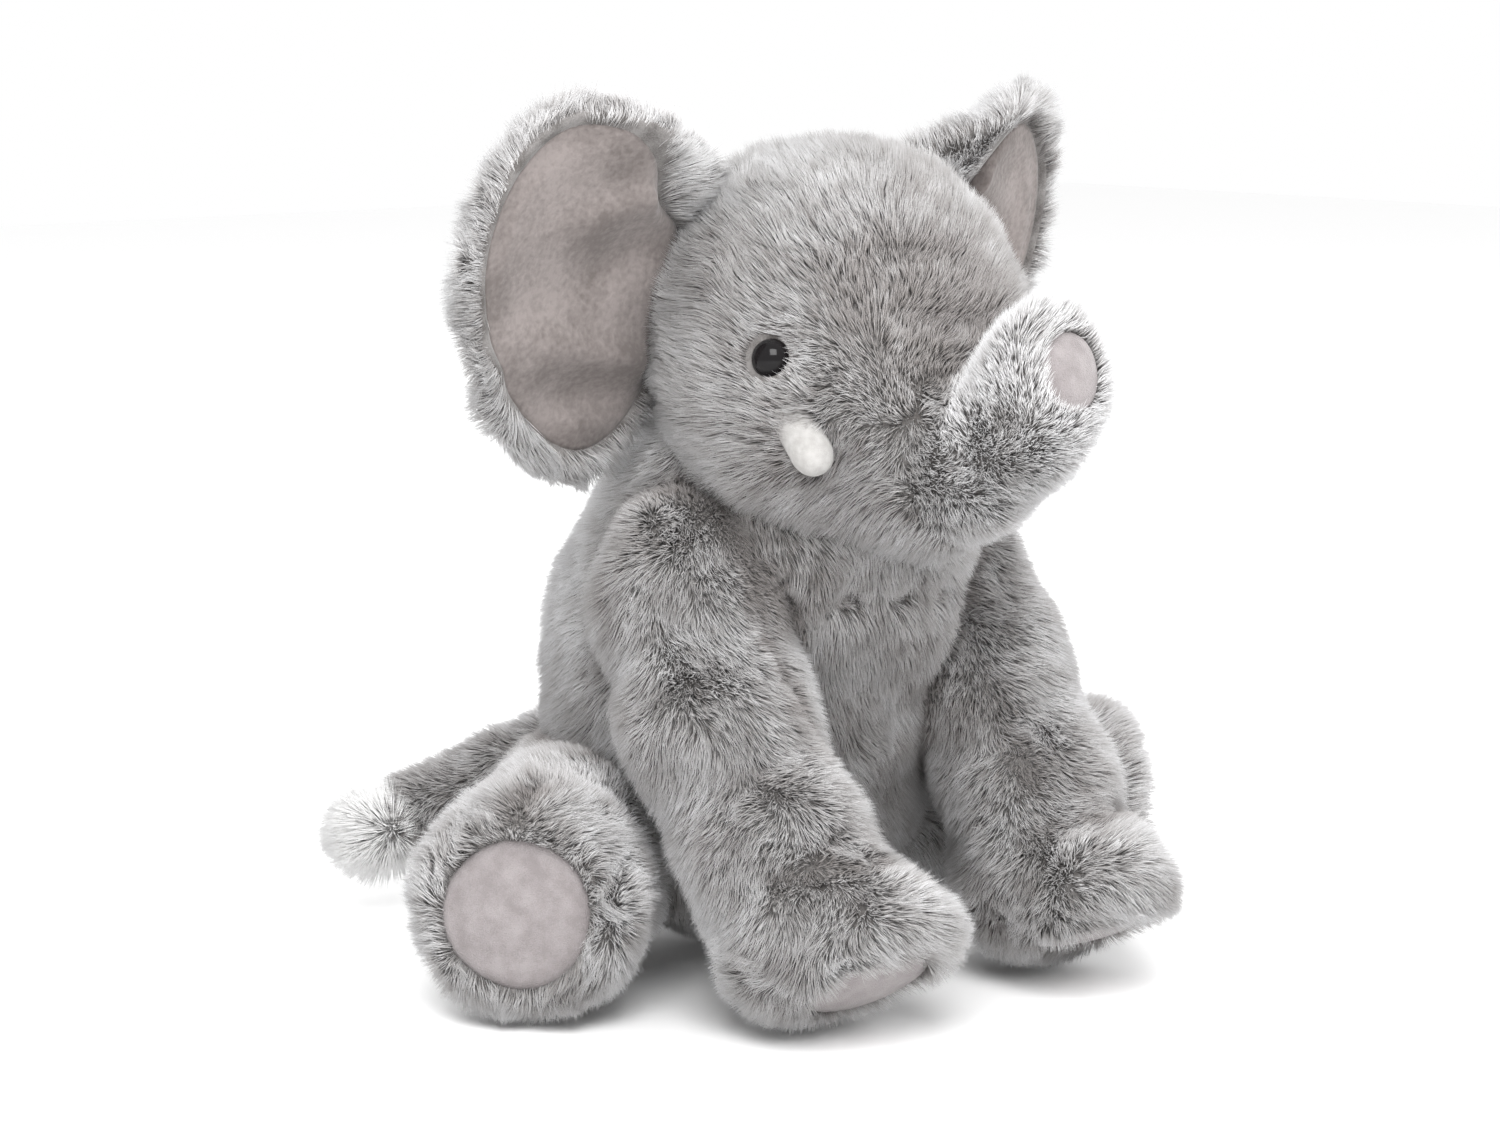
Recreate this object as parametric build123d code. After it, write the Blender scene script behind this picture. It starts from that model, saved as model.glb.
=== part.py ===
"""A seated stuffed elephant with a raised trunk, built as sewn plush skins round separate fillings.

Millimetres. +Z is up, the elephant faces -Y, its right side is -X, and the origin lies on the floor under the
shoulders. Every soft limb is a body of its own on a ball-shaped root that sits in a socket of its neighbour, so
that it can bend at its seam. A skin is the plush fabric, pile included, and a filling is the stuffing inside it.
"""

from build123d import *
import math
import os

# ---- fabric and fits ----
PLUSH = 5.0  # skin thickness: knitted backing and its pile
SEAM_GAP = 0.3  # between two panels, or a skin and its filling
SOCKET_GAP = 1.0  # between a limb's ball root and its socket
PAD_THICK = 3.0  # short-pile velour of the soles, the ear linings and the trunk tip

# ---- torso: a pear that leans forward ----
TORSO_BASE = (0, 36, 28)
TORSO_LEAN = (0, -0.335, 0.942)
TORSO_PROFILE = [(-42, 0), (-30, 35), (0, 52), (35, 53), (65, 50), (95, 43), (120, 28), (132, 0)]
CHEST_HALF_WIDTH = 24.0
CHEST_BACK = 5.0  # the chest panel ends at this Y, between the forelegs
BELLY_BACK = 32.0  # its lower, wider part ends at this Y, in front of the hips
BELLY_TOP = 66.0
SEAT_PANEL_HEIGHT = 9.0
PELLET_BAG_RADIUS = 27.0
PELLET_BAG_HEIGHT = 14.0

# ---- head and neck ----
HEAD_CENTRE = (0, -12, 176)
HEAD_RADIUS = 51.0
HEAD_CLEAR = 5.0  # room between the head and the collar of the torso, for nodding
GUSSET_HALF_WIDTH = 17.0
GUSSET_END = 152.0  # the gusset stops here at the back, where the two sides meet
NECK_PIVOT = (0, -12, 154)
NECK_RADIUS = 11.0
NECK_BOTTOM = 98.0
NECK_CONE_GROWTH = 8.0  # how much wider the head's neck opening is than the neck filling
NECK_CONE_DROP = 36.0
NOD_DOWN = 10.0  # degrees the head nods, which the top of the chest makes room for

# ---- eyes and tusks ----
EYE_DIRECTION = (43, -27, -2)
EYE_RADIUS = 5.25
SHANK_RADIUS = 1.5
SHANK_LENGTH = 10.0
WASHER_RADIUS = 6.0
WASHER_THICK = 2.0
TUSK_ROOT = (40.5, -39, 162.5)
TUSK_TIP = (43, -60, 142)
TUSK_PROFILE = [(0, 0), (1.5, 3.6), (6, 5.4), (12, 6.2), (20, 5.6), (26.5, 3.6), (29, 0)]
TUSK_HOLE_RADIUS = 6.6

# ---- trunk: a tube through these centres, with these radii ----
TRUNK_PIVOT = (0, -48, 141)
TRUNK_BALL_RADIUS = 20.5
TRUNK_LINE = [((0, -48, 141), 20.0), ((0, -74, 147.5), 19.5), ((0, -95, 160), 18.5), ((0, -107, 176), 16.5)]
TRUNK_MOUTH_LENGTH = 34.0
TRUNK_MOUTH_GROWTH = 9.0
TIP_PAD_RADIUS = 10.0

# ---- ears: a flat plate on a straight hinge line at the side of the head ----
EAR_HINGE_TOP = (37, -1, 214)
EAR_HINGE_BOTTOM = (43, 16, 156)
EAR_THICK = 9.0
EAR_ROOT_RADIUS = 4.5
EAR_OUTLINE = [(4, 36), (22, 50), (44, 49), (61, 33), (67, 8), (61, -18), (45, -38), (26, -50), (8, -44)]
EAR_RIM = 9.0  # plush rim left showing round the lining
EAR_SWING_BACK = 25.0
EAR_SWING_FORWARD = 40.0
EAR_MOUTH_DEPTH = 14.0
EAR_MOUTH_REACH = 22.0
EAR_MIDDLE = (34.0, 2.0)

# ---- forelegs: a straight leg from the shoulder with a tilted round foot ----
SHOULDER = (46, -2, 106)
HEEL = (43, -53, 25)
FORELEG_BALL_RADIUS = 22.0
FORELEG_PROFILE = [(-22, 0), (-15, 16), (0, 22), (32, 22.5), (66, 21.5), (92, 22), (108, 18), (118, 0)]
FORE_SOLE_CENTRE = (41, -72, 10.5)
FORE_SOLE_NORMAL = (0, -0.42, -0.91)
FORE_FOOT_PROFILE = [(0, 18), (5, 23.5), (14, 26), (27, 23), (38, 12), (41, 0)]
FORE_PAD_RADIUS = 17.0
FORELEG_INNER_X = 20.0  # the torso is cut back outside this, where the leg swings
FORELEG_LIFT = 34.0
FORELEG_BACK = 8.0

# ---- hind legs: a thigh and a drum-shaped foot whose sole faces outwards and forwards ----
HIP = {-1: (-34, 46, 35), 1: (49, 35, 35)}
HIND_SPREAD = {-1: 53.0, 1: 55.0}  # degrees from straight ahead, measured outwards
HIND_DROP = 0.10  # the leg sinks this much per millimetre of its length
HIND_BALL_RADIUS = 25.0
HIND_PROFILE = [(-25, 0), (-18, 16), (0, 24), (26, 24), (46, 24.5), (60, 28), (74, 28), (81, 24.5), (85, 19.5)]
HIND_PAD_RADIUS = 19.0
HIND_LIFT = 30.0
HIND_MOUTH_LENGTH = 60.0

# ---- tail ----
TAIL_LINE = [((0, 83, 50), 8.5), ((-25, 106, 42), 8.0), ((-46, 116, 32), 8.0), ((-60, 119, 25), 7.0)]
TAIL_BALL_RADIUS = 9.0
TAIL_SOCKET_RADIUS = 12.5
TAIL_SKIN = 3.5
TUFT_RADIUS = 12.5
TUFT_OVERLAP = 7.0  # how far the tuft reaches back over the tail's end
TUFT_HOLE_RADIUS = 9.0

FAR = 800.0


def unit(v):
    length = math.sqrt(sum(c * c for c in v))
    return tuple(c / length for c in v)


def along(start, direction, distance):
    return tuple(s + d * distance for s, d in zip(start, unit(direction)))


def side_of(point, side):
    """A point or direction given for the left side, moved to side (-1 is right, 1 is left)."""
    return (point[0] * side, point[1], point[2])


def ball(centre, radius):
    return Pos(*centre) * Sphere(radius)


def rod(start, direction, length, radius, end_radius=None):
    """A cylinder, or a cone if end_radius is given, from start along direction."""
    place = Plane(origin=start, z_dir=unit(direction)).location
    base = (Align.CENTER, Align.CENTER, Align.MIN)
    if end_radius is None:
        return place * Cylinder(radius, length, align=base)
    return place * Cone(radius, end_radius, length, align=base)


def pod(start, direction, profile, inset=0.0):
    """A round stuffed form about an axis. profile lists (distance along it, radius), and inset thins it all round."""
    first, last = profile[0][0], profile[-1][0]
    shrink = (last - first - 2 * inset) / (last - first)
    points = [
        (max(radius - inset, 0.0) if radius else 0.0, first + inset + (distance - first) * shrink)
        for distance, radius in profile
    ]
    rim = Spline(*[(r, 0, d) for r, d in points], tangents=[(1, 0, 0), (-1, 0, 0)], tangent_scalars=[0.5, 0.5])
    corners = [(r, 0, d) for r, d in (points[-1], (0, points[-1][1]), (0, points[0][1]), points[0])]
    closing = [Line(a, b) for a, b in zip(corners, corners[1:]) if a != b]
    face = make_face([rim, *closing])
    turned = Rotation(0, 0, 37) * revolve(face, Axis.Z)  # keeps the start of the turn off the symmetry plane
    return Plane(origin=start, z_dir=unit(direction)).location * turned


def tube(line, reference, inset=0.0):
    """A soft tube lofted through round sections. line lists (centre, radius), and reference isn't along the tube."""
    path = Spline(*[centre for centre, _ in line])
    sections = []
    for index, (centre, radius) in enumerate(line):
        tangent = path.tangent_at(path.param_at_point(centre))
        at_end = {0: inset, len(line) - 1: -inset}.get(index, 0.0)
        place = Plane(origin=along(centre, tuple(tangent), at_end), x_dir=reference, z_dir=tangent)
        sections.append(place * Circle(radius - inset))
    return loft(sections)


def end_of(line):
    """The last centre of a tube's line, and the direction the tube points there."""
    path = Spline(*[centre for centre, _ in line])
    return line[-1][0], tuple(path.tangent_at(1))


# ---- outer forms, thinner by inset ----
def torso_form(inset=0.0):
    floor = Pos(0, 0, inset + FAR / 2) * Box(FAR, FAR, FAR)
    return pod(TORSO_BASE, TORSO_LEAN, TORSO_PROFILE, inset) & floor


def head_form(inset=0.0):
    return ball(HEAD_CENTRE, HEAD_RADIUS - inset)


def trunk_form(inset=0.0):
    return ball(TRUNK_PIVOT, TRUNK_BALL_RADIUS - inset) + tube(TRUNK_LINE, (1, 0, 0), inset)


def foreleg_shank(side, inset=0.0):
    shoulder, heel = side_of(SHOULDER, side), side_of(HEEL, side)
    return pod(shoulder, tuple(h - s for h, s in zip(heel, shoulder)), FORELEG_PROFILE, inset)


def forefoot(side, inset=0.0):
    upwards = tuple(-c for c in FORE_SOLE_NORMAL)
    return pod(side_of(FORE_SOLE_CENTRE, side), upwards, FORE_FOOT_PROFILE, inset)


def hind_direction(side):
    spread = math.radians(HIND_SPREAD[side])
    return unit((side * math.sin(spread), -math.cos(spread), -HIND_DROP))


def hindleg_form(side, inset=0.0):
    floor = Pos(0, 0, inset + FAR / 2) * Box(FAR, FAR, FAR)
    return pod(HIP[side], hind_direction(side), HIND_PROFILE, inset) & floor


def tail_form(inset=0.0):
    return ball(TAIL_LINE[0][0], TAIL_BALL_RADIUS - inset) + tube(TAIL_LINE, (0, 0, 1), inset)


# ---- room for each limb in its neighbour ----
def neck_room(gap):
    """The neck filling's straight hole, through the top of the torso."""
    return rod((NECK_PIVOT[0], NECK_PIVOT[1], NECK_BOTTOM - gap), (0, 0, 1), FAR, NECK_RADIUS + gap)


def neck_opening():
    """The head's opening over the neck filling, wide enough at the bottom for nodding."""
    cone = rod(NECK_PIVOT, (0, 0, -1), NECK_CONE_DROP, NECK_RADIUS + SOCKET_GAP,
               NECK_RADIUS + SOCKET_GAP + NECK_CONE_GROWTH)
    return ball(NECK_PIVOT, NECK_RADIUS + SOCKET_GAP) + cone


def trunk_room():
    start, onward = TRUNK_PIVOT, tuple(b - a for a, b in zip(TRUNK_LINE[0][0], TRUNK_LINE[1][0]))
    radius = TRUNK_BALL_RADIUS + SOCKET_GAP
    return ball(start, radius) + rod(start, onward, TRUNK_MOUTH_LENGTH, radius, radius + TRUNK_MOUTH_GROWTH)


def shoulder_room(side):
    """The foreleg's socket, and the fan it swings through outside FORELEG_INNER_X."""
    shoulder = side_of(SHOULDER, side)
    down = math.atan2(SHOULDER[1] - HEEL[1], SHOULDER[2] - HEEL[2])
    reach, half = 130.0, FORELEG_BALL_RADIUS + 3.0
    y, z = shoulder[1], shoulder[2]
    lifted, lowered = down + math.radians(FORELEG_LIFT), down - math.radians(FORELEG_BACK)
    back = (half * math.cos(lowered), -half * math.sin(lowered))
    front = (-half * math.cos(lifted), half * math.sin(lifted))
    low = (-reach * math.sin(lowered), -reach * math.cos(lowered))
    high = (-reach * math.sin(lifted), -reach * math.cos(lifted))
    corners = [(y + back[0], z + back[1]), (y + back[0] + low[0], z + back[1] + low[1]),
               (y + high[0] + low[0], z + high[1] + low[1]),
               (y + front[0] + high[0], z + front[1] + high[1]), (y + front[0], z + front[1])]
    plane = Plane(origin=(side * FORELEG_INNER_X, 0, 0), x_dir=(0, 1, 0), z_dir=(1, 0, 0))
    fan = extrude(plane * make_face(Polyline(*corners, close=True)), side * FAR / 8)
    return ball(shoulder, FORELEG_BALL_RADIUS + SOCKET_GAP) + fan


def hip_room(side):
    """The hind leg's socket, and the way its thigh takes as it lifts."""
    hip, level = HIP[side], hind_direction(side)
    room = ball(hip, HIND_BALL_RADIUS + SOCKET_GAP)
    steps = 4
    for step in range(steps + 1):
        lift = math.radians(HIND_LIFT * step / steps)
        flat = math.hypot(level[0], level[1])
        angle = math.atan2(level[2], flat) + lift
        direction = (level[0] / flat * math.cos(angle), level[1] / flat * math.cos(angle), math.sin(angle))
        room += rod(hip, direction, HIND_MOUTH_LENGTH, HIND_BALL_RADIUS + SOCKET_GAP, HIND_BALL_RADIUS + 3)
    return room


def trunk_sweep():
    """The ring at the top of the chest that the trunk's root passes through as the head turns and nods."""
    ahead, above = NECK_PIVOT[1] - TRUNK_PIVOT[1], TRUNK_PIVOT[2] - NECK_PIVOT[2]
    rings = []
    for nod in (0.0, math.radians(NOD_DOWN)):
        reach = ahead * math.cos(nod) + above * math.sin(nod)
        height = above * math.cos(nod) - ahead * math.sin(nod)
        centre = (NECK_PIVOT[0], NECK_PIVOT[1], NECK_PIVOT[2] + height)
        rings.append(Pos(*centre) * Torus(reach, TRUNK_BALL_RADIUS + 1.5))
    in_front = Pos(0, NECK_PIVOT[1] - FAR / 2, 0) * Box(FAR, FAR, FAR)
    return [ring & in_front for ring in rings]


def tail_room():
    return ball(TAIL_LINE[0][0], TAIL_SOCKET_RADIUS)


def tail_tuft():
    """A ball with a blind hole that the tail's end sits in, turned about the tail's last direction."""
    end, onward = end_of(TAIL_LINE)
    mouth = math.sqrt(TUFT_RADIUS ** 2 - TUFT_OVERLAP ** 2)
    outside = ThreePointArc((mouth, 0, -TUFT_OVERLAP), (TUFT_RADIUS, 0, 0), (0, 0, TUFT_RADIUS))
    inside = Polyline((0, 0, TUFT_RADIUS), (0, 0, SEAM_GAP), (TUFT_HOLE_RADIUS, 0, SEAM_GAP),
                      (TUFT_HOLE_RADIUS, 0, -TUFT_OVERLAP), (mouth, 0, -TUFT_OVERLAP))
    turned = revolve(make_face([outside, inside]), Axis.Z)
    return Plane(origin=end, z_dir=onward).location * turned


# ---- ears, drawn for the left side ----
def ear_frame():
    """The left ear's own plane: x away from the head, y up the hinge line, z out of the ear's front."""
    up = Vector(*unit(tuple(a - b for a, b in zip(EAR_HINGE_TOP, EAR_HINGE_BOTTOM))))
    front = Vector(1, 0, 0).cross(up)
    middle = tuple((a + b) / 2 for a, b in zip(EAR_HINGE_TOP, EAR_HINGE_BOTTOM))
    return Plane(origin=middle, x_dir=up.cross(front), z_dir=front)


def ear_sheet(plane, shrink):
    """The ear's outline as a flat face, drawn in towards its middle by shrink."""
    middle_x, middle_y = EAR_MIDDLE
    points = []
    for x, y in EAR_OUTLINE:
        distance = math.hypot(x - middle_x, y - middle_y)
        scale = (distance - shrink) / distance
        points.append((middle_x + (x - middle_x) * scale, middle_y + (y - middle_y) * scale))
    return plane * make_face([Spline(*points), Line(points[-1], points[0])])


def ear_solids():
    """The left ear's plush back with its rim, and the velour lining set into its front."""
    frame = ear_frame()
    hinge = tuple(t - b for t, b in zip(EAR_HINGE_TOP, EAR_HINGE_BOTTOM))
    plate = extrude(ear_sheet(frame, 0.0), EAR_THICK / 2, both=True)
    root = rod(EAR_HINGE_BOTTOM, hinge, math.dist(EAR_HINGE_TOP, EAR_HINGE_BOTTOM), EAR_ROOT_RADIUS)
    front = frame.offset(EAR_THICK / 2)
    pocket = extrude(ear_sheet(front, EAR_RIM), -PAD_THICK)
    lining = extrude(ear_sheet(front, EAR_RIM + SEAM_GAP), -(PAD_THICK - SEAM_GAP))
    return plate + root - pocket, lining


def ear_room():
    """The slot in the side of the head that the left ear's root swings in."""
    frame = ear_frame()
    back, forward = math.radians(EAR_SWING_BACK), math.radians(EAR_SWING_FORWARD)
    half = EAR_THICK / 2 + SOCKET_GAP
    mouth = Polyline((0, -half), (EAR_MOUTH_DEPTH, -half - EAR_MOUTH_DEPTH * math.tan(back)),
                     (EAR_MOUTH_DEPTH, half + EAR_MOUTH_DEPTH * math.tan(forward)), (0, half), close=True)
    reach = math.dist(EAR_HINGE_TOP, EAR_HINGE_BOTTOM) / 2 + EAR_MOUTH_REACH
    section = Plane(origin=frame.origin, x_dir=frame.x_dir, z_dir=-frame.y_dir)
    slot = extrude(section * make_face(mouth), reach, both=True)
    lowest = tuple(frame.origin - frame.y_dir * reach)
    return slot + rod(lowest, tuple(frame.y_dir), 2 * reach, EAR_ROOT_RADIUS + SOCKET_GAP)


# ---- eyes and tusks ----
def eye_solids(side):
    """The safety eye, its washer, and the room that its shank and washer take."""
    direction = unit(side_of(EYE_DIRECTION, side))
    surface = along(HEAD_CENTRE, direction, HEAD_RADIUS)
    inward = tuple(-c for c in direction)
    behind = along(surface, inward, PLUSH + SEAM_GAP)
    dome = ball(along(surface, direction, SEAM_GAP), EYE_RADIUS)
    dome -= rod(along(surface, inward, -SEAM_GAP), inward, EYE_RADIUS * 2, EYE_RADIUS * 2)
    eye = dome + rod(along(surface, direction, SEAM_GAP + 1), inward, SHANK_LENGTH, SHANK_RADIUS)
    washer = rod(behind, inward, WASHER_THICK, WASHER_RADIUS)
    washer -= rod(surface, inward, FAR / 10, SHANK_RADIUS + 0.05)
    room = rod(surface, inward, SHANK_LENGTH + 2, SHANK_RADIUS + SEAM_GAP)
    room += rod(along(behind, inward, -SEAM_GAP), inward, WASHER_THICK + 2 * SEAM_GAP, WASHER_RADIUS + SEAM_GAP)
    return eye, washer, room


def tusk_solids(side):
    """The stuffed tusk, and the hole in the face that its root is caught in."""
    root, tip = side_of(TUSK_ROOT, side), side_of(TUSK_TIP, side)
    direction = tuple(t - r for t, r in zip(tip, root))
    hole = rod(along(root, direction, -SEAM_GAP), direction, FAR / 10, TUSK_HOLE_RADIUS)
    return pod(root, direction, TUSK_PROFILE), hole


# ---- putting skins, fillings and pads together ----
def skin_and_filling(form, rooms):
    """A hollow plush skin and the stuffing inside it, both cut back from the rooms of their neighbours."""
    skin = form(0.0) - form(PLUSH)
    filling = form(PLUSH + SEAM_GAP)
    for room in rooms:
        skin -= room
        filling -= room
    return skin, filling


def halves(skin, side_vector, origin):
    """Splits a skin into two panels at a seam plane."""
    gap = SEAM_GAP / 2
    half = (Align.CENTER, Align.CENTER, Align.MIN)
    away = tuple(-c for c in side_vector)
    first = Plane(origin=along(origin, side_vector, gap), z_dir=side_vector).location * Box(FAR, FAR, FAR, align=half)
    second = Plane(origin=along(origin, away, gap), z_dir=away).location * Box(FAR, FAR, FAR, align=half)
    return skin & first, skin & second


def let_in_pad(skin, centre, normal, radius):
    """Opens a skin for a round sole pad, and makes the pad."""
    inward = tuple(-c for c in unit(normal))
    outside = along(centre, normal, 2)
    opening = rod(outside, inward, PLUSH + 4, radius + SEAM_GAP)
    pad = rod(centre, inward, PAD_THICK, radius)
    return skin - opening, pad


def chest_region(grown):
    """The space of the chest panel: narrow between the forelegs, and wide over the belly."""
    chest = Pos(0, CHEST_BACK + grown - FAR / 2, 0) * Box(2 * (CHEST_HALF_WIDTH + grown), FAR, FAR)
    belly = Pos(0, BELLY_BACK + grown - FAR / 2, BELLY_TOP + grown - FAR / 2) * Box(FAR, FAR, FAR)
    return chest + belly


def build():
    parts = {}

    torso_rooms = [ball(HEAD_CENTRE, HEAD_RADIUS + HEAD_CLEAR), neck_room(SEAM_GAP), tail_room(), *trunk_sweep()]
    torso_rooms += [shoulder_room(side) for side in (-1, 1)] + [hip_room(side) for side in (-1, 1)]
    skin, filling = skin_and_filling(torso_form, torso_rooms)
    pellet_room = rod((0, TORSO_BASE[1], PLUSH + 2 * SEAM_GAP), (0, 0, 1), PELLET_BAG_HEIGHT + 2 * SEAM_GAP,
                      PELLET_BAG_RADIUS + SEAM_GAP)
    bag = rod((0, TORSO_BASE[1], PLUSH + 3 * SEAM_GAP), (0, 0, 1), PELLET_BAG_HEIGHT, PELLET_BAG_RADIUS)
    parts["pellet_bag"] = bag - hip_room(-1) - hip_room(1)
    parts["torso_filling"] = filling - pellet_room
    seat_block = Pos(0, 0, SEAT_PANEL_HEIGHT / 2) * Box(FAR, FAR, SEAT_PANEL_HEIGHT)
    upper_block = Pos(0, 0, SEAT_PANEL_HEIGHT + SEAM_GAP + FAR / 2) * Box(FAR, FAR, FAR)
    parts["seat_panel"] = skin & seat_block
    upper = skin & upper_block
    parts["chest_panel"] = upper & chest_region(0.0)
    parts["torso_side_left"], parts["torso_side_right"] = halves(upper - chest_region(SEAM_GAP), (1, 0, 0), (0, 0, 0))

    parts["neck_filling"] = rod((NECK_PIVOT[0], NECK_PIVOT[1], NECK_BOTTOM), (0, 0, 1),
                                NECK_PIVOT[2] - NECK_BOTTOM, NECK_RADIUS) + ball(NECK_PIVOT, NECK_RADIUS)

    parts["ear_back_left"], parts["ear_lining_left"] = ear_solids()
    parts["ear_back_right"] = mirror(parts["ear_back_left"], Plane.YZ)
    parts["ear_lining_right"] = mirror(parts["ear_lining_left"], Plane.YZ)

    head_rooms = [neck_opening(), trunk_room(), ear_room(), mirror(ear_room(), Plane.YZ)]
    for side, name in ((-1, "right"), (1, "left")):
        eye, washer, room = eye_solids(side)
        parts[f"eye_{name}"], parts[f"eye_washer_{name}"] = eye, washer
        parts[f"tusk_{name}"], hole = tusk_solids(side)
        head_rooms += [room, hole]
    skin, parts["head_filling"] = skin_and_filling(head_form, head_rooms)
    strip = Pos(0, 0, GUSSET_END + FAR / 2) * Box(2 * GUSSET_HALF_WIDTH, FAR, FAR)
    wider = Pos(0, 0, GUSSET_END - SEAM_GAP + FAR / 2) * Box(2 * (GUSSET_HALF_WIDTH + SEAM_GAP), FAR, FAR)
    parts["head_gusset"] = skin & strip
    cheeks = skin - wider
    parts["head_side_left"], parts["head_side_right"] = halves(cheeks, (1, 0, 0), (0, 0, 0))

    skin, parts["trunk_filling"] = skin_and_filling(trunk_form, [])
    tip, onward = end_of(TRUNK_LINE)
    skin, parts["trunk_tip_pad"] = let_in_pad(skin, tip, onward, TIP_PAD_RADIUS)
    parts["trunk_panel_left"], parts["trunk_panel_right"] = halves(skin, (1, 0, 0), (0, 0, 0))

    for side, name in ((-1, "right"), (1, "left")):
        skin = (foreleg_shank(side) + forefoot(side)) - (foreleg_shank(side, PLUSH) + forefoot(side, PLUSH))
        sole = side_of(FORE_SOLE_CENTRE, side)
        skin, pad = let_in_pad(skin, sole, FORE_SOLE_NORMAL, FORE_PAD_RADIUS)
        outer, inner = halves(skin, (side, 0, 0), (side * (SHOULDER[0] + HEEL[0]) / 2, 0, 0))
        parts[f"foreleg_outer_{name}"], parts[f"foreleg_inner_{name}"] = outer, inner
        parts[f"foreleg_filling_{name}"] = foreleg_shank(side, PLUSH + SEAM_GAP)
        parts[f"forefoot_filling_{name}"] = forefoot(side, PLUSH + SEAM_GAP) - foreleg_shank(side, PLUSH)
        parts[f"foreleg_pad_{name}"] = pad

        skin, filling = skin_and_filling(lambda inset: hindleg_form(side, inset), [])
        onward = hind_direction(side)
        sole = along(HIP[side], onward, HIND_PROFILE[-1][0])
        skin, pad = let_in_pad(skin, sole, onward, HIND_PAD_RADIUS)
        seam = unit((onward[0] * onward[2], onward[1] * onward[2], -(onward[0] ** 2 + onward[1] ** 2)))
        lower, upper = halves(skin, seam, HIP[side])
        parts[f"hindleg_upper_{name}"], parts[f"hindleg_lower_{name}"] = upper, lower
        parts[f"hindleg_filling_{name}"], parts[f"hindleg_pad_{name}"] = filling, pad

    parts["tail_skin"] = tail_form(0.0) - tail_form(TAIL_SKIN)
    parts["tail_filling"] = tail_form(TAIL_SKIN + SEAM_GAP)
    parts["tail_tuft"] = tail_tuft()
    return parts


def main():
    os.makedirs("parts", exist_ok=True)
    for name, shape in build().items():
        export_step(shape, f"parts/{name}.step")


main()
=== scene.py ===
"""The stuffed elephant's looks: sewn skins, long two-tone pile, velour pads and linings, eyes and tusks.

Shapes are worked out in millimetres in the row's frame and turned into metres when a mesh is made.
"""

import math

import bpy
import numpy as np
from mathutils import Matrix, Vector


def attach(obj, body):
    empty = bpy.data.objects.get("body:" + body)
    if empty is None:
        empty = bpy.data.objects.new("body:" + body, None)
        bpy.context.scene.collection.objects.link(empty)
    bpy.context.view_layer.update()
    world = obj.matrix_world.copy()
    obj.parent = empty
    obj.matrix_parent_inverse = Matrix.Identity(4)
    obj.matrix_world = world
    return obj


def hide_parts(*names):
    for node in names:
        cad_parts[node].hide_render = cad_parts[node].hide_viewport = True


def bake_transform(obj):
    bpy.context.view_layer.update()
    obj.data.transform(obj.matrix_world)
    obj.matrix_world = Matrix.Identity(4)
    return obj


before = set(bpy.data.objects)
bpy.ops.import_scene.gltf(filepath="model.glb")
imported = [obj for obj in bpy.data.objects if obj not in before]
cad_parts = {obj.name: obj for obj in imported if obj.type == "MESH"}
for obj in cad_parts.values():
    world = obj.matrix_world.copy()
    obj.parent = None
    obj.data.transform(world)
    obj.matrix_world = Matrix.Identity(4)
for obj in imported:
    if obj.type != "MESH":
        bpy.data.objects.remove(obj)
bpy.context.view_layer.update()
FUR_SCALE = 1.0
random = np.random.default_rng(24)

PILE = 5.0  # how far the combed pile stands off its skin
SIDES = (("right", -1), ("left", 1))


# ---- vectors and noise ----
def vec(*values):
    return np.array(values, float)


def unit(v):
    return v / np.maximum(np.linalg.norm(v, axis=-1, keepdims=True), 1e-9)


def tangent_part(v, normal):
    return v - np.sum(v * normal, axis=-1, keepdims=True) * normal


LATTICE = np.random.default_rng(5).random((32, 32, 32, 3)) * 2 - 1


def noise(points, size, channel=0):
    """Smooth noise from -1 to 1 at points, with features about size millimetres across."""
    p = points / size + channel * 7.3
    cell = np.floor(p).astype(int)
    t = p - cell
    t = t * t * (3 - 2 * t)
    total = 0.0
    for corner in range(8):
        offset = np.array([corner & 1, corner >> 1 & 1, corner >> 2 & 1])
        i, j, k = ((cell + offset) % 32).T
        weight = np.prod(np.where(offset == 1, t, 1 - t), axis=1)
        total = total + weight[:, None] * LATTICE[i, j, k]
    return total[:, channel % 3]


def noise_vector(points, size, channel=0):
    return np.stack([noise(points, size, channel + c) for c in range(3)], axis=1)


# ---- soft forms as signed distances ----
def smooth_min(a, b, k):
    h = np.clip(0.5 + 0.5 * (b - a) / k, 0, 1)
    return b * (1 - h) + a * h - k * h * (1 - h)


def smooth_max(a, b, k):
    return -smooth_min(-a, -b, k)


def chain(p, balls, k=6.0):
    """Distance to a soft tube through balls, each (x, y, z, radius)."""
    total = None
    for one, two in zip(balls, balls[1:]):
        a, b = vec(*one[:3]), vec(*two[:3])
        axis = b - a
        t = np.clip((p - a) @ axis / (axis @ axis), 0, 1)
        d = np.linalg.norm(p - a - t[:, None] * axis, axis=1) - (one[3] + (two[3] - one[3]) * t)
        total = d if total is None else smooth_min(total, d, k)
    return total


def ball(p, x, y, z, radius, stretch=(1, 1, 1)):
    s = vec(*stretch)
    return (np.linalg.norm((p - vec(x, y, z)) / s, axis=1) - radius) * s.min()


def plane(p, point, normal):
    return (p - vec(*point)) @ unit(vec(*normal))


def groove(p, start, end, width, depth):
    """A sewn seam that pulls the skin in along the line from start to end."""
    a, b = vec(*start), vec(*end)
    axis = b - a
    t = np.clip((p - a) @ axis / (axis @ axis), 0, 1)
    d = np.linalg.norm(p - a - t[:, None] * axis, axis=1)
    return depth * np.exp(-((d / width) ** 2))


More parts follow.
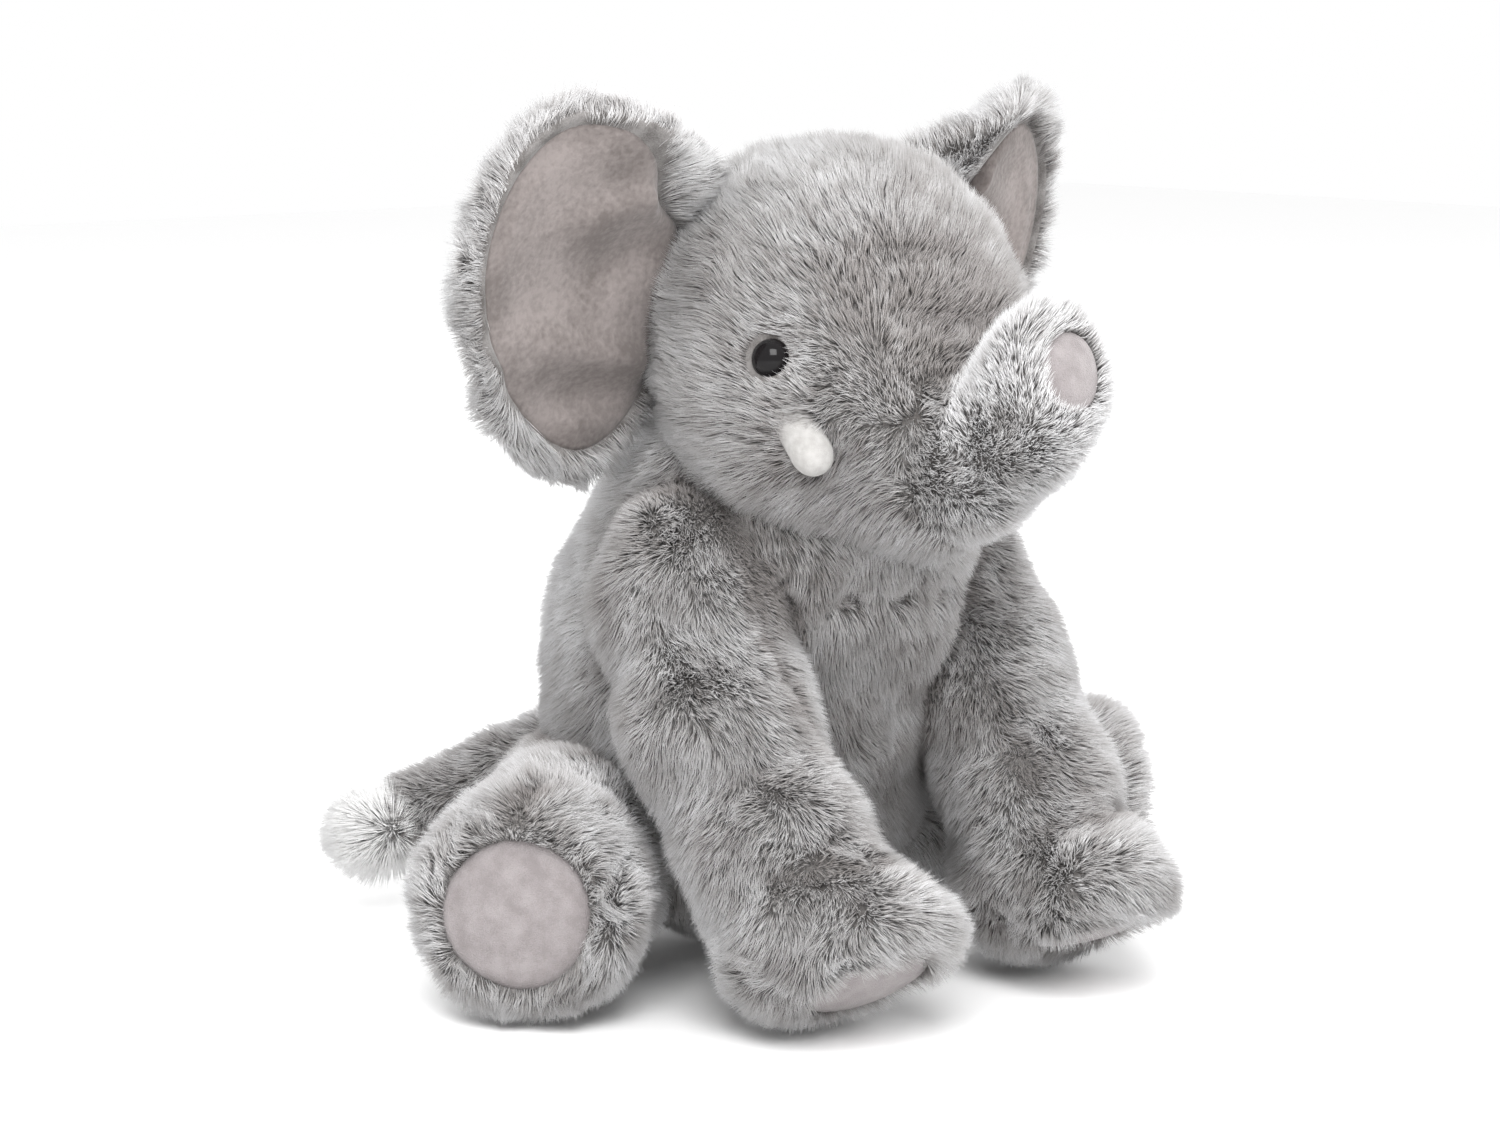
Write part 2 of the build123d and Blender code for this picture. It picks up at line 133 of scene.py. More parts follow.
def seam_plane(p, coordinate, width, depth):
    return depth * np.exp(-((coordinate / width) ** 2))


def gradient(form, p, h=0.4):
    g = np.empty_like(p)
    for axis in range(3):
        step = np.zeros(3)
        step[axis] = h
        g[:, axis] = form(p + step) - form(p - step)
    return g / (2 * h)


def surface_net(form, low, high, step):
    """Quads round the zero surface of a form inside a box."""
    axes = [np.arange(a, b + step, step) for a, b in zip(low, high)]
    shape = tuple(len(a) for a in axes)
    grid = np.stack(np.meshgrid(*axes, indexing="ij"), axis=-1)
    value = form(grid.reshape(-1, 3)).reshape(shape)
    inside = value < 0
    total = np.zeros([n - 1 for n in shape] + [3])
    count = np.zeros([n - 1 for n in shape])
    crossings = []
    for axis in range(3):
        ahead = [slice(None)] * 3
        behind = [slice(None)] * 3
        ahead[axis], behind[axis] = slice(1, None), slice(None, -1)
        v0, v1 = value[tuple(behind)], value[tuple(ahead)]
        crossed = inside[tuple(behind)] != inside[tuple(ahead)]
        t = np.where(crossed, v0 / np.where(crossed, v0 - v1, 1), 0)
        point = grid[tuple(behind)] + t[..., None] * (grid[tuple(ahead)] - grid[tuple(behind)])
        others = [a for a in range(3) if a != axis]
        for shift in ((0, 0), (0, 1), (1, 0), (1, 1)):
            window = [slice(None)] * 3
            for other, s in zip(others, shift):
                window[other] = slice(s, shape[other] - 1 + s)
            picked = crossed[tuple(window)]
            total += np.where(picked[..., None], point[tuple(window)], 0)
            count += picked
        crossings.append((crossed, inside[tuple(behind)]))
    used = count > 0
    index = np.full(count.shape, -1)
    index[used] = np.arange(used.sum())
    points = total[used] / count[used][:, None]
    faces = []
    for axis in range(3):
        crossed, started_inside = crossings[axis]
        others = [a for a in range(3) if a != axis]
        where = np.argwhere(crossed)
        keep = np.all([(where[:, o] > 0) & (where[:, o] < shape[o] - 1) for o in others], axis=0)
        where = where[keep]
        flip = started_inside[tuple(where.T)]
        corners = []
        for a, b in ((-1, -1), (0, -1), (0, 0), (-1, 0)):
            at = where.copy()
            at[:, others[0]] += a
            at[:, others[1]] += b
            corners.append(index[tuple(at.T)])
        quad = np.stack(corners, axis=1)
        if axis == 1:
            flip = ~flip
        quad = np.where(flip[:, None], quad, quad[:, ::-1])
        faces.append(quad)
    return points, np.concatenate(faces)


def settle(form, points, rounds=3):
    """Moves points onto a form's surface and returns them with its outward normals."""
    for _ in range(rounds):
        g = gradient(form, points)
        length = np.maximum(np.sum(g * g, axis=1), 0.05)
        points = points - (form(points) / length)[:, None] * g
    return points, unit(gradient(form, points))


# ---- meshes ----
def add_object(mesh):
    obj = bpy.data.objects.new(mesh.name, mesh)
    bpy.context.scene.collection.objects.link(obj)
    return obj


def mesh_object(name, points, faces, material, smooth=True):
    """points in millimetres, and faces as an array of quads or a list of index tuples."""
    mesh = bpy.data.meshes.new(name)
    mesh.from_pydata((points * 0.001).tolist(), [], [tuple(int(i) for i in f) for f in faces])
    mesh.polygons.foreach_set("use_smooth", [smooth] * len(mesh.polygons))
    mesh.materials.append(material)
    mesh.update()
    return add_object(mesh)


def skin_object(name, form, low, high, step, material):
    points, faces = surface_net(form, low, high, step)
    points, _ = settle(form, points, 1)
    return mesh_object(name, points, faces, material), points, faces


def sample_surface(points, faces, density):
    """Random roots spread evenly over quads, density per square millimetre."""
    quads = points[np.asarray(faces)]
    triangles = np.concatenate([quads[:, [0, 1, 2]], quads[:, [0, 2, 3]]])
    edge_a, edge_b = triangles[:, 1] - triangles[:, 0], triangles[:, 2] - triangles[:, 0]
    area = np.linalg.norm(np.cross(edge_a, edge_b), axis=1) / 2
    number = int(area.sum() * density)
    picked = random.choice(len(area), number, p=area / area.sum())
    a, b = random.random((2, number, 1))
    over = a + b > 1
    a, b = np.where(over, 1 - a, a), np.where(over, 1 - b, b)
    return triangles[picked, 0] + a * edge_a[picked] + b * edge_b[picked]


# ---- pile ----
FUR_PIECE = 49000  # strands in one piece of pile


def clump_towards(roots, tips, size, pull):
    """Draws the tips of neighbouring strands together into tufts about size across."""
    wobble = noise_vector(roots, size * 2.5, 3) * size * 0.8 + random.normal(0, size * 0.22, roots.shape)
    cell = np.floor((roots + wobble) / size).astype(np.int64)
    key = cell[:, 0] * 73856093 ^ cell[:, 1] * 19349663 ^ cell[:, 2] * 83492791
    _, group = np.unique(key, return_inverse=True)
    group = group.ravel()
    number = np.bincount(group).astype(float)
    middle = np.stack([np.bincount(group, tips[:, c]) / number for c in range(3)], axis=1)
    return tips + (middle[group] - tips) * pull, group


def strand_mesh(name, roots, tips, width, tone, material):
    """Closed three-sided spikes, with the pile's tone along u and root to tip along v."""
    n = len(roots)
    along = unit(tips - roots)
    side = unit(np.cross(along, unit(random.normal(size=(n, 3)))))
    other = np.cross(along, side)
    points = np.empty((n, 4, 3))
    for k in range(3):
        angle = k * 2 * math.pi / 3
        spoke = side * math.cos(angle) + other * math.sin(angle)
        points[:, k] = roots + spoke * width[:, None]
    points[:, 3] = tips
    points[:, :, 2] = np.maximum(points[:, :, 2], 0.2)
    pattern = np.array([0, 1, 3, 1, 2, 3, 2, 0, 3, 2, 1, 0])
    loops = (np.arange(n)[:, None] * 4 + pattern).ravel()
    starts = np.arange(0, n * 12, 3)
    mesh = bpy.data.meshes.new(name)
    mesh.vertices.add(n * 4)
    mesh.vertices.foreach_set("co", (points * 0.001).astype(np.float32).ravel())
    mesh.loops.add(len(loops))
    mesh.loops.foreach_set("vertex_index", loops.astype(np.int32))
    mesh.polygons.add(len(starts))
    mesh.polygons.foreach_set("loop_start", starts.astype(np.int32))
    mesh.polygons.foreach_set("use_smooth", np.ones(len(starts), bool))
    mesh.update(calc_edges=True)
    height = np.array([0.02, 0.02, 0.02, 0.98])
    spread = np.array([-0.004, 0, 0.004, 0])
    u = np.clip(tone, 0.01, 0.99)[:, None] + spread[pattern]
    v = np.broadcast_to(height[pattern], u.shape)
    layer = mesh.uv_layers.new(name="OFBake")
    layer.data.foreach_set("uv", np.stack([u, v], axis=-1).astype(np.float32).ravel())
    mesh.materials.append(material)
    return add_object(mesh)


def seam_distance(p, seams):
    """Distance to the nearest seam, and the direction away from it. Each seam is a line of points."""
    best = np.full(len(p), 1e9)
    away = np.zeros_like(p)
    for line in seams:
        for start, end in zip(line, line[1:]):
            a, b = vec(*start), vec(*end)
            axis = b - a
            t = np.clip((p - a) @ axis / (axis @ axis), 0, 1)
            apart = p - a - t[:, None] * axis
            d = np.linalg.norm(apart, axis=1)
            nearer = d < best
            best = np.where(nearer, d, best)
            away = np.where(nearer[:, None], apart, away)
    return best, unit(away)


def grow(name, roots, normals, comb, length, material, lean=42.0, width=0.16, tone=0.5, rough=0.16, seams=(),
         tuft=2.3):
    """Grows combed pile from roots. comb is a direction field, lean is degrees from upright, tone runs 0 to 1.

    Returns the pile in pieces, because one piece of pile is kept to a moderate number of strands."""
    n = len(roots)
    length = np.broadcast_to(length, (n,)) * random.uniform(0.7, 1.15, n)
    drift = noise_vector(roots, 17, 1) * 0.7 + noise_vector(roots, 6, 5) * 0.55
    flow = tangent_part(comb, normals) + drift
    tones = np.broadcast_to(tone, (n,)) + noise(roots, 24, 6) * 0.2 + noise(roots, 7, 4) * 0.28
    if len(seams):
        apart, away = seam_distance(roots, seams)
        near = np.exp(-((apart / 4.5) ** 2))
        flow = flow + away * (near * 2.2)[:, None]
        length = length * (1 - 0.5 * near)
        # Near seams and pleats the pile is darker: partly a dark seam line, partly painted shade in the crease
        tones = tones - 0.8 * np.exp(-((apart / 3.4) ** 2))
    flow = unit(tangent_part(flow, normals))
    tilt = np.radians(np.broadcast_to(lean, (n,)) + noise(roots, 8, 2) * 20 + random.normal(0, 6, n))
    aim = unit(normals * np.cos(tilt)[:, None] + flow * np.sin(tilt)[:, None])
    aim = unit(aim + random.normal(0, rough, (n, 3)))
    tips = roots + aim * length[:, None]
    tips, group = clump_towards(roots, tips, tuft, 0.5)
    tips, _ = clump_towards(roots, tips, tuft * 2.6, 0.16)
    roots = roots - normals * 0.4
    by_group = np.random.default_rng(9).normal(0, 0.12, group.max() + 1)[group]
    tones = np.clip(tones + by_group + random.normal(0, 0.1, n), 0.02, 0.98)
    widths = width * random.uniform(0.7, 1.25, n)
    pieces = []
    order = np.argsort(roots[:, 2], kind="stable")
    number = max(1, math.ceil(n / FUR_PIECE))
    for i, part in enumerate(np.array_split(order, number)):
        label = name if number == 1 else f"{name}_{i + 1}"
        pieces.append(strand_mesh(label, roots[part], tips[part], widths[part], tones[part], material))
    return pieces


# ---- materials ----
def new_material(name):
    material = bpy.data.materials.new(name)
    material.use_nodes = True
    nodes = material.node_tree.nodes
    return material, nodes, material.node_tree.links, nodes["Principled BSDF"]


def fur_material(name, dark, light, roughness=0.75):
    """dark and light are each root, middle and tip colours, mixed by the strand's tone."""
    material, nodes, links, shader = new_material(name)
    place = nodes.new("ShaderNodeUVMap")
    place.uv_map = "OFBake"
    split = nodes.new("ShaderNodeSeparateXYZ")
    links.new(place.outputs["UV"], split.inputs[0])
    ramps = []
    for colours in (dark, light):
        ramp = nodes.new("ShaderNodeValToRGB")
        elements = ramp.color_ramp.elements
        elements[0].position, elements[1].position = 0.0, 1.0
        middle = elements.new(0.5)
        for element, colour in zip((elements[0], middle, elements[2]), colours):
            element.color = (*colour, 1)
        links.new(split.outputs["Y"], ramp.inputs["Fac"])
        ramps.append(ramp)
    mix = nodes.new("ShaderNodeMix")
    mix.data_type = "RGBA"
    links.new(split.outputs["X"], mix.inputs["Factor"])
    links.new(ramps[0].outputs["Color"], mix.inputs["A"])
    links.new(ramps[1].outputs["Color"], mix.inputs["B"])
    links.new(mix.outputs["Result"], shader.inputs["Base Color"])
    shader.inputs["Roughness"].default_value = roughness
    shader.inputs["Specular IOR Level"].default_value = 0.25
    shader.inputs["Sheen Weight"].default_value = 0.25
    shader.inputs["Sheen Roughness"].default_value = 0.6
    return material


def velour_material(name, dark, light, scale, bump=0.25, roughness=0.9):
    """Short pile brushed in soft patches: two colours mixed by noise, and a fine bump."""
    material, nodes, links, shader = new_material(name)
    place = nodes.new("ShaderNodeTexCoord")
    patches = nodes.new("ShaderNodeTexNoise")
    patches.inputs["Scale"].default_value = scale
    patches.inputs["Detail"].default_value = 3
    fine = nodes.new("ShaderNodeTexNoise")
    fine.inputs["Scale"].default_value = scale * 14
    fine.inputs["Detail"].default_value = 2
    for node in (patches, fine):
        links.new(place.outputs["Object"], node.inputs["Vector"])
    both = nodes.new("ShaderNodeMath")
    both.operation = "MULTIPLY_ADD"
    both.inputs[1].default_value = 0.55
    links.new(fine.outputs["Fac"], both.inputs[0])
    links.new(patches.outputs["Fac"], both.inputs[2])
    ramp = nodes.new("ShaderNodeValToRGB")
    elements = ramp.color_ramp.elements
    elements[0].position, elements[1].position = 0.6, 0.95
    elements[0].color, elements[1].color = (*dark, 1), (*light, 1)
    links.new(both.outputs[0], ramp.inputs["Fac"])
    links.new(ramp.outputs["Color"], shader.inputs["Base Color"])
    raised = nodes.new("ShaderNodeBump")
    raised.inputs["Strength"].default_value = bump
    raised.inputs["Distance"].default_value = 0.0006
    links.new(fine.outputs["Fac"], raised.inputs["Height"])
    links.new(raised.outputs["Normal"], shader.inputs["Normal"])
    shader.inputs["Roughness"].default_value = roughness
    shader.inputs["Sheen Weight"].default_value = 0.18
    shader.inputs["Specular IOR Level"].default_value = 0.2
    return material


grey_pile = fur_material(
    "grey_pile",
    ((0.08, 0.066, 0.06), (0.22, 0.20, 0.19), (0.42, 0.40, 0.395)),
    ((0.24, 0.225, 0.22), (0.55, 0.54, 0.54), (0.92, 0.925, 0.94)),
)
white_pile = fur_material(
    "white_pile",
    ((0.55, 0.54, 0.535), (0.75, 0.745, 0.74), (0.90, 0.90, 0.90)),
    ((0.7, 0.69, 0.685), (0.88, 0.875, 0.87), (0.97, 0.97, 0.97)),
)
backing = velour_material("plush_backing", (0.085, 0.078, 0.074), (0.21, 0.20, 0.195), 160)
white_backing = velour_material("tuft_backing", (0.60, 0.59, 0.585), (0.78, 0.775, 0.77), 160)
pad_velour = velour_material("pad_velour", (0.225, 0.203, 0.204), (0.30, 0.275, 0.276), 200, 0.6)
lining_velour = velour_material("lining_velour", (0.125, 0.108, 0.102), (0.225, 0.198, 0.19), 45, 0.5)
tusk_felt = velour_material("tusk_felt", (0.35, 0.34, 0.328), (0.44, 0.43, 0.42), 400, 0.35)


def eye_material():
    material, nodes, links, shader = new_material("eye_black")
    place = nodes.new("ShaderNodeTexCoord")
    specks = nodes.new("ShaderNodeTexNoise")
    specks.inputs["Scale"].default_value = 90
    links.new(place.outputs["Object"], specks.inputs["Vector"])
    ramp = nodes.new("ShaderNodeValToRGB")
    ramp.color_ramp.elements[0].color = (0.004, 0.004, 0.005, 1)
    ramp.color_ramp.elements[1].color = (0.012, 0.010, 0.010, 1)
    links.new(specks.outputs["Fac"], ramp.inputs["Fac"])
    links.new(ramp.outputs["Color"], shader.inputs["Base Color"])
    shader.inputs["Roughness"].default_value = 0.12
    shader.inputs["Specular IOR Level"].default_value = 0.18
    return material


eye_black = eye_material()


# ---- torso ----
CHEST_SEAMS = [
    [(-27, -26, 112), (-28, -26, 98), (-28, -23, 84)],
    [(27, -26, 112), (28, -26, 98), (28, -23, 84)],
    [(-27, -26, 112), (-14, -34, 111), (0, -36, 111), (14, -34, 111), (27, -26, 112)],
]
BACK_SEAM = [[(0, 55, 140), (0, 74, 100), (0, 84, 60), (0, 80, 25)]]


def torso_form(p):
    body = chain(p, [(0, 28, 57, 56), (0, 22, 90, 54), (0, 4, 122, 50), (0, -8, 140, 40)], 14) + PILE
    body = smooth_max(body, 3.0 - p[:, 2], 12)
    fold = 0
    for line in CHEST_SEAMS:
        for start, end in zip(line, line[1:]):
            fold = fold + groove(p, start, end, 4.0, 3.0)
    back_seam = np.where(p[:, 1] > 40, seam_plane(p, p[:, 0], 2.5, 1.8), 0)
    return body + fold + back_seam + noise(p, 26, 1) * 1.2


def torso_comb(p):
    return np.broadcast_to(vec(0, -0.15, -1), p.shape) + vec(0, 0, 0)


torso_skin, torso_points, torso_faces = skin_object(
    "torso_skin", torso_form, (-62, -62, -4), (62, 96, 178), 2.2, backing)
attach(torso_skin, "torso")
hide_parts("torso_side_right", "torso_side_left", "chest_panel", "seat_panel", "torso_filling",
            "pellet_bag", "neck_filling")


# ---- head and trunk ----
HEAD = vec(0, -12, 176)
TIP_NORMAL = unit(vec(0.08, -0.97, 0.22))
TIP_CENTRE = vec(0, -108, 174)
TEMPLE_SEAM = [(39, -1, 217), (43, -14, 212), (46, -25, 205), (48, -36, 196)]
BRIDGE_PLEATS = [
    ((-14, -56, 199), (4, -58, 197)),
    ((-16, -62, 183), (7, -64, 180)),
    ((-16, -66, 170), (7, -68, 173)),
]
HEAD_SEAMS = [
    TEMPLE_SEAM,
    [(-x, y, z) for x, y, z in TEMPLE_SEAM],
    *BRIDGE_PLEATS,
]


def head_form(p):
    skull = ball(p, 0, -12, 176, 53.5)
    muzzle = ball(p, 0, -25, 158, 43, (1.0, 1.0, 0.95))
    cheeks = smooth_min(ball(p, -24, -30, 160, 31), ball(p, 24, -30, 160, 31), 10)
    trunk = chain(p, [(0, -30, 145, 24), (0, -48, 144, 22.5), (0, -68, 147, 20), (0, -85, 159, 18.5),
                      (0, -95, 172, 18.5), (0, -99, 176, 18)], 10)
    trunk = smooth_max(trunk, plane(p, TIP_CENTRE, TIP_NORMAL), 7)
    body = smooth_min(smooth_min(skull, smooth_min(muzzle, cheeks, 12), 14), trunk, 16) + PILE
    side = np.abs(p[:, 0])
    mirrored = np.stack([side, p[:, 1], p[:, 2]], axis=1)
    gusset = 0
    for start, end in zip(TEMPLE_SEAM, TEMPLE_SEAM[1:]):
        gusset = gusset + groove(mirrored, start, end, 3.4, 4.2)
    pleats = 0
    for start, end in BRIDGE_PLEATS:
        pleats = pleats + groove(p, start, end, 3.0, 5.0)
    chin = groove(p, (-26, -42, 126), (26, -42, 126), 3.0, 2.0)
    dish = ball(p, TIP_CENTRE[0], TIP_CENTRE[1], TIP_CENTRE[2], 8)
    dish = 3.0 * np.exp(-(np.maximum(dish, 0) / 3.0) ** 2)
    return body + gusset + pleats + chin + dish + noise(p, 22, 2) * 1.4


head_skin, head_points, head_faces = skin_object(
    "head_skin", head_form, (-58, -132, 108), (58, 46, 236), 2.2, backing)
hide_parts("head_side_right", "head_side_left", "head_gusset", "head_filling",
            "trunk_panel_right", "trunk_panel_left", "trunk_filling",
            "eye_washer_right", "eye_washer_left")


def head_comb(p):
    """Back over the head from the face, and along the trunk to its tip."""
    away = unit(p - vec(0, -66, 158)) + vec(0, 0.25, 0)
    onward = unit(vec(0, -1, 0.35)) + vec(0, 0, 0)
    reach = np.clip((-p[:, 1] - 56) / 14, 0, 1)[:, None]
    curl = np.clip((-p[:, 1] - 84) / 16, 0, 1)[:, None]
    trunk = onward * (1 - curl) + vec(0, -0.55, 0.85) * curl
    return away * (1 - reach) + trunk * reach


# ---- legs ----
def foreleg_balls(side):
    return [(side * 38, 0, 118, 24), (side * 42, -4, 106, 27), (side * 47, -22, 78, 26), (side * 46, -42, 50, 24.5),
            (side * 43, -54, 30, 26)]


FORE_SOLE = vec(41, -76, 13)
FORE_SOLE_NORMAL = {-1: unit(vec(-0.1, -0.62, -0.78)), 1: unit(vec(-0.05, -0.45, -0.89))}


def sided(v, side):
    return vec(v[0] * side, v[1], v[2])


def fore_seams(side):
    """Down the inner front of the leg, and across the ankle."""
    if side < 0:
        inner = [(-39, -25, 121), (-42, -31, 106), (-39, -39, 90), (-34, -44, 76)]
    else:
        inner = [(23, -26, 108), (27, -36, 92), (30, -47, 76), (31, -58, 58)]
    return [inner, [(side * 20, -66, 47), (side * 42, -76, 50), (side * 60, -62, 46)]]


def foreleg_form(side):
    centre, normal = sided(FORE_SOLE, side), FORE_SOLE_NORMAL[side]

    def form(p):
        leg = chain(p, foreleg_balls(side), 8)
        foot = chain(p, [(side * 42, -58, 27, 27), (side * 39, -76, 26, 24)], 8)
        body = smooth_min(leg, foot, 10)
        body = smooth_max(body, plane(p, centre, normal), 7)
        body = smooth_max(body, 0.0 - p[:, 2], 6) + PILE
        seam = 0
        for line in fore_seams(side):
            for start, end in zip(line, line[1:]):
                seam = seam + groove(p, start, end, 3.6, 2.2)
        return body + seam + noise(p, 22, side + 4) * 1.4

    return form


def foreleg_comb(side):
    def comb(p):
        down = vec(0, -0.5, -0.85)
        toe = unit(p - vec(side * 41, -52, 46)) * vec(1, 1, 0.4)
        reach = np.clip((44 - p[:, 2]) / 16, 0, 1)[:, None]
        return down * (1 - reach) + toe * reach
    return comb


HIP = {-1: vec(-34, 46, 38), 1: vec(49, 35, 38)}
SPREAD = {-1: math.radians(53), 1: math.radians(55)}


def hind_out(side):
    return vec(side * math.sin(SPREAD[side]), -math.cos(SPREAD[side]), 0)


def hind_sole(side):
    """Centre and outward normal of a hind sole."""
    out = hind_out(side)
    centre = HIP[side] + out * 84
    centre[2] = 31
    return centre, unit(out * 1.0 + vec(side * 0.1, -0.12, 0.06))


def hind_seams(side):
    """The dart over the top of the foot, running back from the sole's edge."""
    centre, normal = hind_sole(side)
    start = centre + vec(0, 0, 26)
    return [[tuple(start), tuple(start - normal * 10 + vec(0, 0, 3)), tuple(start - normal * 20 + vec(0, 0, 2))]]


def hindleg_form(side):
    out = hind_out(side)
    hip = HIP[side]
    middle, foot = hip + out * 34, hip + out * 68
    centre, normal = hind_sole(side)
    balls = [(*hip, 32), (middle[0], middle[1], 35, 28), (foot[0], foot[1], 31.5, 30.5),
             (foot[0] + out[0] * 14, foot[1] + out[1] * 14, 31, 30)]

    def form(p):
        body = chain(p, balls, 10)
        body = smooth_max(body, plane(p, centre + normal * 4.0, normal), 8)
        body = smooth_max(body, 0.0 - p[:, 2], 6) + PILE
        across = np.linalg.norm(tangent_part(p - centre, normal), axis=1)
        close = np.exp(-((p - centre) @ normal / 9) ** 2)
        dish = 2.5 * np.clip((22 - across) / 5, 0, 1) * close
        notch = groove(p, centre + vec(0, 0, 27), centre - normal * 22 + vec(0, 0, 30), 3.5, 2.5)
        return body + dish + notch + noise(p, 22, side + 8) * 1.1

    return form


def hindleg_comb(side):
    out = hind_out(side)

    def comb(p):
        centre, normal = hind_sole(side)
        reach = np.clip(((p - centre) @ normal + 22) / 18, 0, 1)[:, None]
        around = unit(p - centre) * 0.9
        return (out + vec(0, 0, -0.35)) * (1 - reach) + (around * 0.6 + normal * 0.7) * reach
    return comb


# ---- tail ----
def tail_form(p):
    balls = [(0, 80, 51, 12), (-12, 96, 47, 11.5), (-25, 106, 42, 11), (-48, 116, 31, 11), (-58, 118, 26, 10)]
    return chain(p, balls, 6) + 4.0 + noise(p, 16, 2) * 0.6


def tuft_form(p):
    return ball(p, -61, 119, 25, 13.5, (1.1, 1, 1)) + 5.5


def tail_comb(p):
    return np.broadcast_to(vec(-0.85, 0.4, -0.35), p.shape)


def tuft_comb(p):
    return unit(p - vec(-50, 116, 30)) * 0.5 + vec(-0.85, 0.35, -0.5)


# ---- ears ----
EAR_OUTLINE = [(-8, 188), (-13, 206), (-11, 219), (6, 227), (26, 233), (44, 239), (58, 239), (70, 227), (75, 209),
               (71, 188), (60, 170), (47, 154), (33, 143), (17, 138), (3, 146), (-5, 166)]
EAR_CENTRE = vec(33, 190)
RIM_FOLD = {-1: (0.27, 32.0), 1: (0.45, 55.0)}  # how much of the ear its top rim folds over, and how widely
SWEPT = {-1: 0.0, 1: 0.36}  # how far back each ear lies, per millimetre away from the head
EAR_REACH = {-1: 0.985, 1: 0.88}


def ear_outline(angles):
    """The ear's edge, as (distance from the hinge line, height), by angle round EAR_CENTRE."""
    edge = np.array(EAR_OUTLINE, float) - EAR_CENTRE
    turn = np.unwrap(np.arctan2(edge[:, 1], edge[:, 0]))
    reach = np.linalg.norm(edge, axis=1)
    if turn[-1] < turn[0]:
        turn, reach = turn[::-1], reach[::-1]
    turn = np.concatenate([turn - 2 * math.pi, turn, turn + 2 * math.pi])
    reach = np.tile(reach, 3)
    fine = np.linspace(-math.pi, math.pi, 720, endpoint=False)
    value = np.interp(fine, turn, reach)
    kernel = np.exp(-np.linspace(-2, 2, 61) ** 2)
    value = np.convolve(np.tile(value, 3), kernel / kernel.sum(), mode="same")[720:1440]
    reach = np.interp(angles, fine, value, period=2 * math.pi)
    return np.stack([reach * np.cos(angles), reach * np.sin(angles)], axis=-1)


def ear_point(side, share, angles, lift):
    """A point share of the way from the ear's middle to its edge, lift in front of its middle layer."""
    flat = EAR_CENTRE + share[:, None] * ear_outline(angles)
    d, z = flat[:, 0], flat[:, 1]
    t = np.clip((218 - z) / 66, -0.4, 1.3)
    hinge_x, hinge_y = 40 + 6 * t, 18 * t
    away = np.clip(d / 60, -0.2, 1.3)
    cup = 9.0 * share ** 2.2 * np.clip(d / 25, 0, 1)
    roll = 8.5 * np.exp(-((d - 22) / 24) ** 2) * np.clip((z - 204) / 28, 0, 1) ** 1.5
    sweep = 10.0 * np.clip((172 - z) / 35, 0, 1) * away
    y = hinge_y + SWEPT[side] * np.maximum(d, 0) - 3.0 * away - cup - roll + sweep - lift
    return np.stack([side * (hinge_x + d * EAR_REACH[side]), y, z], axis=1)


def rim_start(side, angles):
    """How far from the ear's middle its lining reaches: less at the top, where the rim folds over."""
    turn = np.degrees(np.asarray(angles)) % 360
    fold = np.exp(-(((turn - 138) / RIM_FOLD[side][1]) ** 2))
    hem = np.exp(-(((turn - 275) / 40) ** 2))
    return 0.87 - RIM_FOLD[side][0] * fold - 0.07 * hem


def ear_thickness(side, share, angles):
    body = 3.0 * np.sqrt(np.clip(1 - share ** 2, 0, 1))
    edge = rim_start(side, angles)
    middle = (1 + edge) / 2
    rim = 3.2 * np.exp(-((share - middle) / (0.55 * (1 - edge))) ** 2) * np.sqrt(np.clip((1 - share) / 0.06, 0, 1))
    return body + rim


def ear_grid(side, shares, face, turns=96):
    angles = np.linspace(0, 2 * math.pi, turns, endpoint=False)
    rings = []
    for share in shares:
        s = np.full(turns, share)
        rings.append(ear_point(side, s, angles, face * ear_thickness(side, s, angles)))
    return rings


def ring_faces(number_of_rings, turns, first=0):
    quads = []
    for r in range(number_of_rings - 1):
        for t in range(turns):
            a, b = r * turns + t, r * turns + (t + 1) % turns
            quads.append((first + a, first + b, first + b + turns, first + a + turns))
    return quads


def ear_skin_mesh(side):
    """Closed: front rings outwards from a small ring, then back rings inwards."""
    shares = np.concatenate([[0.02], np.linspace(0.1, 0.8, 10), np.linspace(0.84, 0.999, 8)])
    front = ear_grid(side, shares, 1)
    back = ear_grid(side, shares[::-1][1:], -1)
    points = np.concatenate(front + back)
    quads = ring_faces(len(front) + len(back), 96)
    if side < 0:
        quads = [q[::-1] for q in quads]
    ends = [tuple(range(96))[::-1], tuple(range(len(points) - 96, len(points)))]
    if side < 0:
        ends = [e[::-1] for e in ends]
    return points, quads, ends


def lining_folds(side, points):
    """Broad soft folds across the lining."""
    d, z = np.abs(points[:, 0]) - 40, points[:, 2]
    inner = np.exp(-((d - 22) / 26) ** 2)
    fold = 4.0 * np.exp(-((z - 211 + 0.25 * (d - 30)) / 6) ** 2) * inner
    fold = fold - 2.6 * np.exp(-((z - 196 + 0.3 * (d - 30)) / 7) ** 2) * inner
    fold = fold + 4.5 * np.exp(-((z - 172 - 0.2 * (d - 20)) / 5) ** 2) * inner
    fold = fold - 2.6 * np.exp(-((z - 160 - 0.2 * (d - 20)) / 5) ** 2) * inner
    return fold + noise(points, 16, 1) * 0.8


